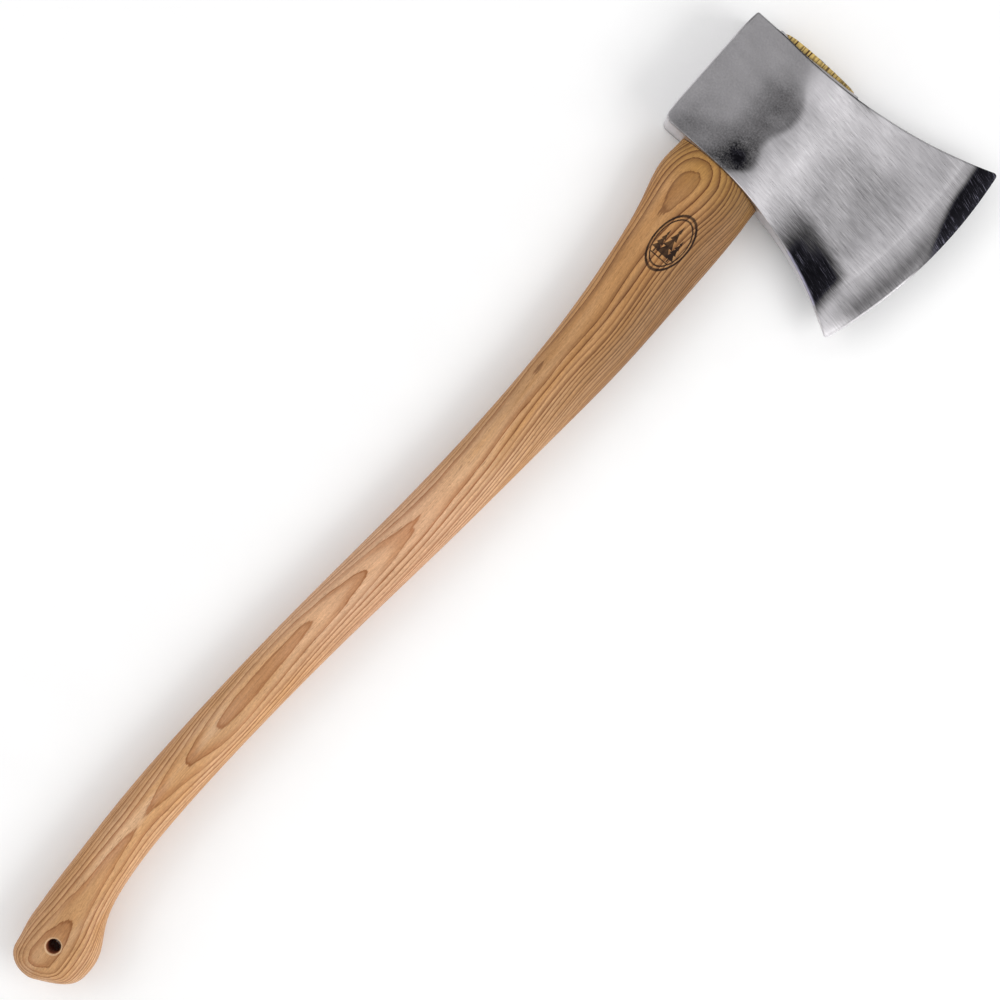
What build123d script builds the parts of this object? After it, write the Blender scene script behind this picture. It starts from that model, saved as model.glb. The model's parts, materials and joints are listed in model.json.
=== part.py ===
from build123d import *

import os
from math import asin, degrees

# Felling axe lying on its cheek. +X runs up the handle from knob to head, -Y is the way the cutting
# edge faces, and +Z comes up out of the upper cheek. The origin is under the middle of the axe, on
# the surface that it lies on. Millimetres.
#
# The axe is drawn in its own side view: "ahead" counts from the poll face towards the cutting edge,
# "along" counts from the eye's mid height towards the top of the head, and "up" counts from the
# middle plane towards +Z.

# ---- Head: side view -----------------------------------------------------------------------------
HEAD_THICK = 31.0          # across the two cheeks at the eye
POLL_HEIGHT = 81.0
POLL_FLAT = 50.0           # the middle of the poll face, which is truly flat
POLL_CROWN = 1.0           # how far the poll face falls back at its two ends
POLL_TOP_CORNER = 1.5
POLL_BOTTOM_CORNER = 4.5
TOP_STRAIGHT = 45.0        # the upper side is straight this far ahead, then sweeps up to the toe
TOP_SWEEP = 311.0
TOP_SWEEP_TURN = 25        # degrees, far enough to pass the cutting edge
BOTTOM_STRAIGHT = 36.0     # the lower side is straight this far, then sweeps down to the heel
BOTTOM_SWEEP = 235.0
BOTTOM_SWEEP_TURN = 38
EDGE_RADIUS = 282.0        # curve of the cutting edge, in side view
EDGE_AHEAD = 170.7         # foremost point of the cutting edge
EDGE_ALONG = 20.5
TIP_ROUND = 2.0            # rounding of toe and heel
EYE_DIP = 0.9              # the upper side is ground down this far beside the eye
EYE_DIP_AHEAD = 46.0       # where that dip is deepest
EYE_DIP_RADIUS = 250.0

# ---- Head: thickness, each a half thickness above the middle plane ----------------------------------
BEHIND_POLL = -1.0         # the cheeks' section starts this far ahead, just behind the poll face
CHEEK_FLAT_END = 43.0      # the cheeks are flat and parallel up to here
CHEEK_SHOULDER = 178.0     # convex radius where they start to thin
CHEEK_SHOULDER_END = 75.0
CHEEK_HOLLOW = 590.0       # long hollow radius down to the bit
CHEEK_HOLLOW_TURN = 7.2    # degrees of that hollow
CHEEK_RUN_OUT = 30.0       # straight length after the hollow, out past the cutting edge
BIT_CONE_HALF = 30.0       # where the bit's cone ends, clear above the cheeks
BIT_CONE_SLOPE = 0.20      # half thickness gained per millimetre behind the rounded bevel
SOFT_BEVEL = 20.0          # from the edge back to the start of the rounded bevel
SOFT_BEVEL_HALF = 3.65
SOFT_BEVEL_SLOPE = 0.14
FINE_BEVEL = 3.0           # width of the fine honed bevel
FINE_BEVEL_HALF = 1.15
EDGE_HALF = 0.3            # left at the very edge
CHEEK_BREAK = 0.8          # the cheeks' broken corners

# ---- Eye and its collar --------------------------------------------------------------------------
EYE_BACK = 20.4            # from the poll face to the eye
EYE_LENGTH = 53.5
EYE_WIDTH = 20.5
EYE_FRONT_RADIUS = 6.3
EYE_WAIST = 0.6            # the eye is this much tighter all round at its mid height
EYE_REACH = 50.0           # half height of the eye's cutting shape, beyond the head on both sides
COLLAR_RISE = 4.2          # the forged collar stands this far above the head's upper side
COLLAR_WALL = 3.6          # at its root
COLLAR_CROWN = 15.5        # it falls off towards both cheeks on this radius: high at its two ends only
COLLAR_ROOT = 6.0          # how deep the collar's solid starts inside the head
COLLAR_DRAFT = 8.0

# ---- Handle --------------------------------------------------------------------------------------
# Each station: along, back edge ahead, front edge ahead, thickness.
HANDLE_STATIONS = [
    (-38.0, 16.2, 75.8, 26.0),
    (-46.0, 15.9, 76.1, 26.5),
    (-57.0, 15.4, 76.9, 27.0),
    (-80.0, 20.8, 77.9, 27.0),
    (-114.0, 27.9, 78.2, 26.5),
    (-161.0, 33.6, 78.2, 25.8),
    (-219.0, 36.2, 75.1, 25.0),
    (-300.0, 34.5, 69.8, 24.2),
    (-381.0, 29.6, 63.2, 23.8),
    (-474.0, 25.6, 58.1, 23.8),
    (-544.0, 25.8, 57.7, 24.4),
    (-582.0, 28.0, 61.1, 26.0),
    (-604.0, 29.4, 67.6, 27.6),
    (-619.0, 30.8, 76.2, 28.7),
    (-631.0, 32.1, 78.6, 29.0),
    (-641.0, 34.5, 76.5, 28.0),
    (-648.0, 36.0, 68.9, 24.0),
    (-652.6, 39.4, 61.1, 17.5),
    (-655.6, 47.5, 54.5, 8.0),
]
OVAL_FULLNESS = 2.3        # 2 is an ellipse, more is fuller
OVAL_POINTS = 16
HANG_HOLE_AHEAD = 53.5
HANG_HOLE_ALONG = -629.8
HANG_HOLE_RADIUS = 4.15
HANG_HOLE_RIM = 1.1        # width of the countersunk rim

# ---- Tongue, kerf and wedges -----------------------------------------------------------------------
CREST_ALONG = 45.8         # top of the tongue's domed end
CREST_AHEAD = 50.0         # where that top is
CREST_DOME = 380.0         # radius of the dome in side view
CREST_SPAN = 20            # degrees of that arc, more than covers the tongue
CREST_CROWN = 60.0         # radius of the dome across the tongue
CREST_ROUND = 1.0
KERF_DEPTH = 52.0
KERF_TOP = 5.6             # thickness of kerf and wedge at the crest
KERF_BOTTOM = 1.4
RING_RADIUS = 8.0
RING_WALL = 1.8
RING_POINT = 0.5           # wall left at the ring's driven end
RING_DEPTH = 20.0
RING_SUNK = 0.5            # the ring's upper end lies this far below the crest

# ---- Where the side view lies in the part's frame --------------------------------------------------
TOE_ALONG = 64.6
KNOB_END_ALONG = HANDLE_STATIONS[-1][0]
HALF_THICK = HEAD_THICK / 2
HALF_POLL = POLL_HEIGHT / 2
EYE_CENTRE = (-(KNOB_END_ALONG + TOE_ALONG) / 2, EDGE_AHEAD / 2, HALF_THICK)
AHEAD = (0, -1, 0)
SIDE_VIEW = Plane(origin=EYE_CENTRE, x_dir=AHEAD, z_dir=(0, 0, 1))           # (ahead, along)
CROSS_VIEW = Plane(origin=EYE_CENTRE, x_dir=AHEAD, z_dir=(1, 0, 0))          # (ahead, down)
FRONT_VIEW = Plane(origin=EYE_CENTRE, x_dir=(0, 0, 1), z_dir=(0, 1, 0))      # (up, along)

# The bit is turned about an axis through the centre of the cutting edge's curve.
EDGE_CENTRE = SIDE_VIEW.from_local_coords((EDGE_AHEAD - EDGE_RADIUS, EDGE_ALONG, 0))
EDGE_CENTRE_VIEW = Plane(origin=EDGE_CENTRE, x_dir=AHEAD, z_dir=(1, 0, 0))
EDGE_AXIS = Axis(EDGE_CENTRE, (0, 0, 1))
BIT_CONE_TOP = EDGE_RADIUS - SOFT_BEVEL - (BIT_CONE_HALF - SOFT_BEVEL_HALF) / BIT_CONE_SLOPE

CHEEK_SHOULDER_TURN = degrees(asin((CHEEK_SHOULDER_END - CHEEK_FLAT_END) / CHEEK_SHOULDER))

# The ring wedge stands in the middle of the eye.
EYE_MIDDLE_AHEAD = EYE_BACK + EYE_LENGTH / 2
RING_CENTRE = SIDE_VIEW.from_local_coords((EYE_MIDDLE_AHEAD, 0, 0))
RING_VIEW = Plane(origin=RING_CENTRE, x_dir=AHEAD, z_dir=(0, 0, 1))          # (radius, along)
RING_AXIS = Axis(RING_CENTRE, (1, 0, 0))
RING_TOP = CREST_ALONG - RING_SUNK

# The tongue's dome is turned about a line that runs ahead, below its top.
DOME_AXIS_ALONG = CREST_ALONG - CREST_CROWN
DOME_AXIS = Axis(SIDE_VIEW.from_local_coords((0, DOME_AXIS_ALONG, 0)), AHEAD)

HANG_HOLE_CENTRE = SIDE_VIEW.from_local_coords((HANG_HOLE_AHEAD, HANG_HOLE_ALONG, 0))


def section_at(along):
    """The plane square to the handle at a place along it."""
    return CROSS_VIEW.offset(along)


def eye_outline(ease):
    """Egg-shaped eye: a round back end, a narrower front end, and sides that touch both."""
    with BuildSketch() as outline:
        with Locations((EYE_BACK + EYE_WIDTH / 2, 0)):
            Circle(EYE_WIDTH / 2 + ease)
        with Locations((EYE_BACK + EYE_LENGTH - EYE_FRONT_RADIUS, 0)):
            Circle(EYE_FRONT_RADIUS + ease)
        make_hull()
    return outline.sketch


def handle_oval(back, front, thick):
    """One full oval section of the handle, as a closed curve."""
    middle = (back + front) / 2
    power = 2 / OVAL_FULLNESS
    points = []
    for step in range(OVAL_POINTS):
        turn = Vector(1, 0).rotate(Axis.Z, 360 * step / OVAL_POINTS)
        across = abs(turn.X) ** power * (1 if turn.X > 0 else -1)
        upward = abs(turn.Y) ** power * (1 if turn.Y > 0 else -1)
        points.append((middle + across * (front - back) / 2, upward * thick / 2))
    with BuildSketch() as oval:
        with BuildLine():
            Spline(*points, periodic=True)
        make_face()
    return oval.sketch


# ---- Head ------------------------------------------------------------------------------------------
with BuildPart() as head_blank:
    with BuildSketch(SIDE_VIEW) as side:
        with BuildLine():
            lower = Line((POLL_CROWN, -HALF_POLL), (BOTTOM_STRAIGHT, -HALF_POLL))
            to_heel = JernArc(lower @ 1, (1, 0), BOTTOM_SWEEP, -BOTTOM_SWEEP_TURN)
            upper = Line((POLL_CROWN, HALF_POLL), (TOP_STRAIGHT, HALF_POLL))
            to_toe = JernArc(upper @ 1, (1, 0), TOP_SWEEP, TOP_SWEEP_TURN)
            Line(to_heel @ 1, to_toe @ 1)
            poll_face = Line((0, -POLL_FLAT / 2), (0, POLL_FLAT / 2))
            TangentArc(poll_face @ 1, upper @ 0, tangent=(0, 1))
            TangentArc(poll_face @ 0, lower @ 0, tangent=(0, -1))
        make_face()
        with Locations((EDGE_AHEAD - EDGE_RADIUS, EDGE_ALONG)):
            Circle(EDGE_RADIUS, mode=Mode.INTERSECT)
        with Locations((EYE_DIP_AHEAD, HALF_POLL - EYE_DIP + EYE_DIP_RADIUS)):
            Circle(EYE_DIP_RADIUS, mode=Mode.SUBTRACT)
        by_height = side.vertices().sort_by(Axis.Y)
        fillet([by_height[0], by_height[-1]], TIP_ROUND)
        fillet(side.vertices().sort_by_distance((POLL_CROWN, HALF_POLL))[0], POLL_TOP_CORNER)
        fillet(side.vertices().sort_by_distance((POLL_CROWN, -HALF_POLL))[0], POLL_BOTTOM_CORNER)
    extrude(amount=HALF_THICK, both=True)
    chamfer(head_blank.edges().filter_by(Plane.XY), CHEEK_BREAK)

    with BuildSketch(CROSS_VIEW):
        with BuildLine():
            flat = Line((BEHIND_POLL, HALF_THICK), (CHEEK_FLAT_END, HALF_THICK))
            shoulder = JernArc(flat @ 1, (1, 0), CHEEK_SHOULDER, -CHEEK_SHOULDER_TURN)
            hollow = JernArc(shoulder @ 1, shoulder % 1, CHEEK_HOLLOW, CHEEK_HOLLOW_TURN)
            bit = Line(hollow @ 1, (hollow @ 1) + (hollow % 1) * CHEEK_RUN_OUT)
            mirror(about=Plane.XZ)
            Line(flat @ 0, (BEHIND_POLL, -HALF_THICK))
            Line(bit @ 1, ((bit @ 1).X, -(bit @ 1).Y))
        make_face()
    extrude(amount=POLL_HEIGHT * 2, both=True, mode=Mode.INTERSECT)

    with BuildSketch(EDGE_CENTRE_VIEW):
        with BuildLine():
            edge = Line((EDGE_RADIUS, 0), (EDGE_RADIUS, EDGE_HALF))
            fine = Line(edge @ 1, (EDGE_RADIUS - FINE_BEVEL, FINE_BEVEL_HALF))
            soft_start = (EDGE_RADIUS - SOFT_BEVEL, SOFT_BEVEL_HALF)
            TangentArc(soft_start, fine @ 1, tangent=(1, -SOFT_BEVEL_SLOPE))
            cone = Line(soft_start, (BIT_CONE_TOP, BIT_CONE_HALF))
            Line(cone @ 1, (0, BIT_CONE_HALF))
            mirror(about=Plane.XZ)
            Line((0, BIT_CONE_HALF), (0, -BIT_CONE_HALF))
        make_face()
    revolve(axis=EDGE_AXIS, mode=Mode.INTERSECT)

with BuildPart() as collar:
    with BuildSketch(section_at(HALF_POLL)):
        add(eye_outline(COLLAR_WALL))
    extrude(amount=COLLAR_RISE, taper=COLLAR_DRAFT)
    extrude(collar.faces().sort_by(Axis.X)[0], amount=COLLAR_ROOT)
    with BuildSketch(FRONT_VIEW):
        with Locations((0, HALF_POLL + COLLAR_RISE - COLLAR_CROWN)):
            Circle(COLLAR_CROWN)
    extrude(amount=EYE_LENGTH * 2, both=True, mode=Mode.INTERSECT)

with BuildPart() as eye:
    for along, ease in ((-EYE_REACH, 0), (0, -EYE_WAIST), (EYE_REACH, 0)):
        with BuildSketch(section_at(along)):
            add(eye_outline(ease))
    loft()

with BuildPart() as axe_head:
    add(head_blank)
    add(collar)
    add(eye, mode=Mode.SUBTRACT)

# ---- Ring wedge ------------------------------------------------------------------------------------
with BuildPart() as ring_wedge:
    with BuildSketch(RING_VIEW):
        with BuildLine():
            Polyline(
                (RING_RADIUS, RING_TOP),
                (RING_RADIUS, RING_TOP - RING_DEPTH),
                (RING_RADIUS - RING_POINT, RING_TOP - RING_DEPTH),
                (RING_RADIUS - RING_WALL, RING_TOP),
                close=True,
            )
        make_face()
    revolve(axis=RING_AXIS)

with BuildPart() as ring_slot:
    add(ring_wedge)
    with BuildSketch(section_at(RING_TOP)):
        with Locations((EYE_MIDDLE_AHEAD, 0)):
            Circle(RING_RADIUS)
            Circle(RING_RADIUS - RING_WALL, mode=Mode.SUBTRACT)
    extrude(amount=EYE_REACH - RING_TOP)

# ---- Tongue and wooden wedge -----------------------------------------------------------------------
with BuildPart() as tongue:
    add(eye)
    with BuildSketch(SIDE_VIEW):
        with BuildLine():
            dome_centre = (CREST_AHEAD, CREST_ALONG - CREST_DOME)
            crest = CenterArc(dome_centre, CREST_DOME, 90 - CREST_SPAN / 2, CREST_SPAN)
            foot = Line(((crest @ 0).X, DOME_AXIS_ALONG), ((crest @ 1).X, DOME_AXIS_ALONG))
            Line(crest @ 0, foot @ 0)
            Line(crest @ 1, foot @ 1)
        make_face()
    revolve(axis=DOME_AXIS, mode=Mode.INTERSECT)
    fillet(tongue.faces().sort_by(Axis.X)[-1].edges(), CREST_ROUND)

with BuildPart() as kerf:
    kerf_bottom = CREST_ALONG - KERF_DEPTH
    with BuildSketch(FRONT_VIEW):
        with BuildLine():
            Polyline(
                (-KERF_TOP / 2, CREST_ALONG),
                (-KERF_BOTTOM / 2, kerf_bottom),
                (KERF_BOTTOM / 2, kerf_bottom),
                (KERF_TOP / 2, CREST_ALONG),
                close=True,
            )
        make_face()
    extrude(amount=EYE_LENGTH * 2, both=True)

with BuildPart() as wooden_wedge:
    add(tongue)
    add(kerf, mode=Mode.INTERSECT)
    add(ring_slot, mode=Mode.SUBTRACT)

# ---- Handle ----------------------------------------------------------------------------------------
with BuildPart() as handle:
    for along, back, front, thick in HANDLE_STATIONS:
        with BuildSketch(section_at(along)):
            add(handle_oval(back, front, thick))
    loft()
    add(head_blank, mode=Mode.SUBTRACT)
    add(tongue)
    add(kerf, mode=Mode.SUBTRACT)
    add(ring_slot, mode=Mode.SUBTRACT)
    with Locations(HANG_HOLE_CENTRE):
        Hole(HANG_HOLE_RADIUS)
    wall = handle.faces().filter_by(GeomType.CYLINDER).sort_by_distance(HANG_HOLE_CENTRE)[0]
    chamfer(wall.edges().filter_by(GeomType.LINE, reverse=True), HANG_HOLE_RIM)

os.makedirs("parts", exist_ok=True)
pieces = {
    "axe_head": axe_head,
    "handle": handle,
    "wooden_wedge": wooden_wedge,
    "ring_wedge": ring_wedge,
}
for name, piece in pieces.items():
    piece.part.label = name
    export_step(piece.part, f"parts/{name}.step")
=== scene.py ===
import json
import math

import bmesh
import bpy
import numpy as np
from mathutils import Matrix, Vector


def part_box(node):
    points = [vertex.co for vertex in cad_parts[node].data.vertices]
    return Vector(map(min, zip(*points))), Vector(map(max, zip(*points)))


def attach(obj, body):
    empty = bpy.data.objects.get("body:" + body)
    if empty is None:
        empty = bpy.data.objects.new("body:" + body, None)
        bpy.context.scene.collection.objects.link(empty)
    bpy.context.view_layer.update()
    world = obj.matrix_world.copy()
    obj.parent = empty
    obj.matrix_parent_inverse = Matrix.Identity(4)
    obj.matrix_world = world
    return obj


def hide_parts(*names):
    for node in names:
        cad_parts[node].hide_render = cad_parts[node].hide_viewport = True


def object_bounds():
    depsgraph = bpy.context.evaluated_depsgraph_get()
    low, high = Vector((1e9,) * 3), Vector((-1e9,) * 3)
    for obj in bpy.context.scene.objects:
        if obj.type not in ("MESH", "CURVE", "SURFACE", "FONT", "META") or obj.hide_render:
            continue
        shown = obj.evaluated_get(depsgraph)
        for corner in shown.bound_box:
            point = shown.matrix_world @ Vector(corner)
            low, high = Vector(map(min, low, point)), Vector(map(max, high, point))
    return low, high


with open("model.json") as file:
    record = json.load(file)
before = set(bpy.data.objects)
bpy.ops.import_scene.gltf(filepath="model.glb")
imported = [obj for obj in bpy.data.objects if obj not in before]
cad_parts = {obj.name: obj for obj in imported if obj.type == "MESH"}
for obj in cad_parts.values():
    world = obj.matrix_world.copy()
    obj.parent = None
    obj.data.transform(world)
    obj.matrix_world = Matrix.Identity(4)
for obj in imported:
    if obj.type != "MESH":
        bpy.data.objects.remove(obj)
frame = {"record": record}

CAD_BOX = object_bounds()
MM = 0.001
scene = bpy.context.scene

# --- where the axe lies, in metres
# Three ways to count, all in millimetres: "ahead" from the poll face towards the cutting edge,
# "along" from the eye's mid height towards the top of the head, "up" from the middle plane.
MOUNTS = {m["name"]: m for m in frame["record"]["mounts"]}
EYE_X, POLL_Y, MID_Z = MOUNTS["poll_face"]["pos_m"]
HOLE_X, HOLE_Y, _ = MOUNTS["hang_hole"]["pos_m"]
HOLE_R = MOUNTS["hang_hole"]["dims"]["r_mm"]
HOLE_ALONG = (HOLE_X - EYE_X) / MM
HOLE_AHEAD = (POLL_Y - HOLE_Y) / MM
HEAD_LOW, HEAD_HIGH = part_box("axe_head")
HALF_THICK = (HEAD_HIGH[2] - HEAD_LOW[2]) / 2 / MM
EDGE_AHEAD = (HEAD_HIGH[1] - HEAD_LOW[1]) / MM
KNOB_END = (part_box("handle")[0][0] - EYE_X) / MM


def place(ahead, along, up):
    """Points of the part's frame, in metres."""
    ahead, along, up = np.broadcast_arrays(ahead, along, up)
    return join(EYE_X + along * MM, POLL_Y - ahead * MM, MID_Z + up * MM)


def join(*parts):
    """Points from their coordinates."""
    return np.stack(parts, -1)


def polar(radius, turn):
    return radius * join(np.cos(turn), np.sin(turn))


def turn_of(point):
    return math.atan2(point[1], point[0])


def between(a, b, t):
    return a * (1 - t) + b * t


# --- mesh helpers
WELD = 0.000001


def new_object(name, data):
    obj = bpy.data.objects.new(name, data)
    scene.collection.objects.link(obj)
    return obj


class Net:
    """Collects grids of points and the faces between them."""

    def __init__(self):
        self.points, self.faces, self.count = [], [], 0

    def add(self, points):
        points = np.asarray(points, float)
        index = self.count + np.arange(points[..., 0].size).reshape(points.shape[:-1])
        self.points.append(points.reshape(-1, 3))
        self.count += index.size
        return index

    def quads(self, index, blocks=(), wrap=False):
        """Faces between a grid's points, left out inside the blocks (r0, r1, c0, c1)."""
        rows, cols = index.shape
        for r in range(rows - 1):
            for c in range(cols if wrap else cols - 1):
                if any(r0 <= r < r1 and c0 <= c < c1 for r0, r1, c0, c1 in blocks):
                    continue
                d = (c + 1) % cols
                self.faces.append((index[r, c], index[r, d], index[r + 1, d], index[r + 1, c]))

    def finish(self, name):
        """The net's object, welded into one closed mesh."""
        data = bpy.data.meshes.new(name)
        data.from_pydata(np.concatenate(self.points).tolist(), [], self.faces)
        bm = bmesh.new()
        bm.from_mesh(data)
        bmesh.ops.remove_doubles(bm, verts=bm.verts, dist=WELD)
        bmesh.ops.dissolve_degenerate(bm, edges=bm.edges, dist=WELD / 10)
        bmesh.ops.recalc_face_normals(bm, faces=bm.faces)
        bm.to_mesh(data)
        bm.free()
        return new_object(name, data)


def block_loop(index, r0, r1, c0, c1):
    """The indices round a block of a grid, starting in the middle of its side c1."""
    mid = (r0 + r1) // 2
    sides = index[mid:r0:-1, c1], index[r0, c1:c0:-1], index[r0:r1, c0], index[r1, c0:c1]
    return np.concatenate([*sides, index[r1:mid:-1, c1]])


def nearest(values, goal):
    return int(np.argmin(np.abs(values - goal)))


def spline(xs, ys, x):
    """Natural cubic spline through (xs, ys)."""
    xs, ys, x = (np.asarray(v, float) for v in (xs, ys, x))
    n, h = len(xs), np.diff(xs)
    m = np.zeros((n, n))
    rhs = np.zeros(n)
    m[0, 0] = m[-1, -1] = 1
    for i in range(1, n - 1):
        m[i, i - 1 : i + 2] = h[i - 1], 2 * (h[i - 1] + h[i]), h[i]
        rhs[i] = 6 * ((ys[i + 1] - ys[i]) / h[i] - (ys[i] - ys[i - 1]) / h[i - 1])
    c = np.linalg.solve(m, rhs)
    i = np.clip(np.searchsorted(xs, x) - 1, 0, n - 2)
    a, b, w = xs[i + 1] - x, x - xs[i], h[i]
    return (
        (c[i] * a**3 + c[i + 1] * b**3) / (6 * w)
        + (ys[i] / w - c[i] * w / 6) * a
        + (ys[i + 1] / w - c[i + 1] * w / 6) * b
    )


def arc_lengths(line):
    return np.concatenate([[0], np.cumsum(np.linalg.norm(np.diff(line, axis=0), axis=1))])


def at_length(line, lengths, where):
    return join(*(np.interp(where, lengths, values) for values in line.T))


def rises(x, low, high):
    """From 0 at low to 1 at high, smoothly."""
    t = np.clip((x - low) / (high - low), 0, 1)
    return t * t * (3 - 2 * t)


def fades(x, low, high):
    return 1 - rises(x, low, high)


def swells(x, low, full, last, gone):
    """Rises from low to full, holds, and fades from last to gone."""
    return rises(x, low, full) * fades(x, last, gone)


def blob(ahead, along, at, size, turn=0.0):
    """A soft spot: 1 in its middle, falling towards 0 over its size, turned by degrees."""
    c, s = math.cos(math.radians(turn)), math.sin(math.radians(turn))
    p = ((ahead - at[0]) * c + (along - at[1]) * s) / size[0]
    q = (-(ahead - at[0]) * s + (along - at[1]) * c) / size[1]
    return np.exp(-(p * p + q * q))


# --- the head's side outline
HALF_POLL, POLL_FLAT_HALF, POLL_CROWN = 40.5, 25.0, 1.0
POLL_TOP_R, POLL_BOTTOM_R, TIP_R = 1.5, 4.5, 2.0
EDGE_R, EDGE_ALONG = 282.0, 20.5
EDGE_CENTRE = np.array([EDGE_AHEAD - EDGE_R, EDGE_ALONG])
TOP_STRAIGHT, TOP_R = 45.0, 311.0
BOTTOM_STRAIGHT, BOTTOM_R = 36.0, 235.0
DIP_AHEAD, DIP_DEPTH, DIP_R, DIP_BLEND = 46.0, 0.9, 250.0, 0.3


def swept_side(ahead, straight, radius):
    """Half height of a side that runs straight so far and then sweeps out on that radius."""
    reach = np.clip(np.asarray(ahead, float) - straight, 0, 0.95 * radius)
    return HALF_POLL + radius - np.sqrt(radius**2 - reach**2)


def top_side(ahead):
    """The upper side: swept up to the toe, and ground down a little beside the eye."""
    swept = swept_side(ahead, TOP_STRAIGHT, TOP_R)
    off = np.minimum(np.abs(np.asarray(ahead, float) - DIP_AHEAD), 0.95 * DIP_R)
    dip = HALF_POLL - DIP_DEPTH + DIP_R - np.sqrt(DIP_R**2 - off**2)
    gap = np.maximum(DIP_BLEND - np.abs(swept - dip), 0) / DIP_BLEND
    return np.minimum(swept, dip) - gap**2 * DIP_BLEND / 4


def bottom_side(ahead):
    return -swept_side(ahead, BOTTOM_STRAIGHT, BOTTOM_R)


def poll_curve(along):
    """The poll face, flat in the middle and falling back a little at both ends."""
    end = HALF_POLL - POLL_FLAT_HALF
    crown_r = (end**2 + POLL_CROWN**2) / (2 * POLL_CROWN)
    reach = np.maximum(np.abs(along) - POLL_FLAT_HALF, 0)
    return crown_r - np.sqrt(crown_r**2 - reach**2)


def rounded(first, second, radius):
    """Two outline curves, counter-clockwise, trimmed and joined by an arc of that radius."""
    tangent = np.gradient(first, axis=0)
    tangent /= np.linalg.norm(tangent, axis=1)[:, None]
    centres = first + radius * join(-tangent[:, 1], tangent[:, 0])
    gap = np.linalg.norm(centres[:, None] - second[None], axis=2)
    inside = np.nonzero(gap.min(1) < radius)[0]
    i = inside[0] - 1
    j = gap[i].argmin()
    centre = centres[i]
    start = turn_of(first[i] - centre)
    turn = (turn_of(second[j] - centre) - start) % (2 * math.pi)
    arc = centre + polar(radius, start + np.linspace(0, turn, 25)[1:-1])
    return first[: i + 1], arc, second[j:]


def meets_edge(side, low, high):
    """How far ahead a side meets the cutting edge's circle."""
    for _ in range(60):
        mid = (low + high) / 2
        out = math.hypot(mid - EDGE_CENTRE[0], float(side(mid)) - EDGE_CENTRE[1]) > EDGE_R
        low, high = (low, mid) if out else (mid, high)
    return low


HEEL, TOE = meets_edge(bottom_side, 120, 175), meets_edge(top_side, 120, 175)
FINE = 0.05


def outline_curves():
    """Lower side, cutting edge, upper side and poll face, counter-clockwise, and their corner arcs."""
    ahead = np.arange(1.0, HEEL, FINE)
    lower = join(ahead, bottom_side(ahead))
    tips = (HEEL, bottom_side(HEEL)), (TOE, top_side(TOE))
    a0, a1 = (turn_of(np.array(tip) - EDGE_CENTRE) for tip in tips)
    edge = EDGE_CENTRE + polar(EDGE_R, np.arange(a0, a1, FINE / EDGE_R))
    ahead = np.arange(TOE, 1.0, -FINE)
    upper = join(ahead, top_side(ahead))
    along = np.arange(HALF_POLL, -HALF_POLL, -FINE)
    poll = join(poll_curve(along), along)
    lower, heel, edge = rounded(lower, edge, TIP_R)
    edge, toe, upper = rounded(edge, upper, TIP_R)
    upper, top_corner, poll = rounded(upper, poll, POLL_TOP_R)
    poll, bottom_corner, lower = rounded(poll, lower, POLL_BOTTOM_R)
    return lower, heel, edge, toe, upper, top_corner, poll, bottom_corner


LOWER, HEEL_ARC, EDGE, TOE_ARC, UPPER, TOP_CORNER, POLL, BOTTOM_CORNER = outline_curves()
MID_ARC = len(BOTTOM_CORNER) // 2
LOWER_SIDE = np.concatenate([BOTTOM_CORNER[MID_ARC:], LOWER, HEEL_ARC, EDGE[:1]])
UPPER_SIDE = np.concatenate([EDGE[-1:], TOE_ARC, UPPER, TOP_CORNER[: MID_ARC + 1]])[::-1]
POLL_SIDE = np.concatenate([TOP_CORNER[MID_ARC:], POLL, BOTTOM_CORNER[: MID_ARC + 1]])[::-1]
OUTLINE = np.concatenate([LOWER_SIDE, EDGE, UPPER_SIDE[::-1], POLL_SIDE[::-1]])[::4]


# --- the head's half thickness
CHEEK_FLAT_END, SHOULDER_END = 43.0, 75.0
SHOULDER_R, HOLLOW_R = 178.0, 590.0
SHOULDER_TURN = math.asin((SHOULDER_END - CHEEK_FLAT_END) / SHOULDER_R)
HOLLOW_END = SHOULDER_TURN - math.radians(7.2)
HOLLOW_AHEAD = SHOULDER_END + HOLLOW_R * (math.sin(SHOULDER_TURN) - math.sin(HOLLOW_END))
BEVEL, BEVEL_SLOPE, HONED_HALF, HONED_REACH = 20.0, 0.13, 0.68, 4.0
EDGE_HALF, CONE_SLOPE, BIT_BLEND = 0.3, 0.2, 1.5
# Hand grinding leaves the hollow cheeks uneven: waves by strength, run ahead, run along and phase.
GRIND_WAVES = ((1.0, 0.105, 0.031, 0.6), (1.0, -0.047, 0.093, 2.1), (0.6, 0.211, 0.157, 4.0))
GRIND_DEPTH = 0.07


def cheek_half(ahead):
    """Half thickness of the cheeks: flat, over a round shoulder, down a long hollow, then straight."""
    reach = np.clip(ahead - CHEEK_FLAT_END, 0, SHOULDER_END - CHEEK_FLAT_END)
    shoulder = HALF_THICK - SHOULDER_R + np.sqrt(SHOULDER_R**2 - reach**2)
    run = np.clip(ahead - SHOULDER_END, 0, HOLLOW_AHEAD - SHOULDER_END)
    sine = math.sin(SHOULDER_TURN) - run / HOLLOW_R
    hollow = shoulder + HOLLOW_R * (math.cos(SHOULDER_TURN) - np.sqrt(1 - sine**2))
    return hollow - np.maximum(ahead - HOLLOW_AHEAD, 0) * math.tan(HOLLOW_END)


def behind_edge(ahead, along):
    return EDGE_R - np.hypot(ahead - EDGE_CENTRE[0], along - EDGE_CENTRE[1])


def bit_half(behind):
    """Half thickness that the ground bit allows, by distance behind the cutting edge."""
    bevel = np.clip(behind, 0, BEVEL)
    honed = HONED_HALF * (1 - np.exp(-bevel / HONED_REACH))
    return EDGE_HALF + BEVEL_SLOPE * bevel + honed + CONE_SLOPE * np.maximum(behind - BEVEL, 0)


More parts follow.
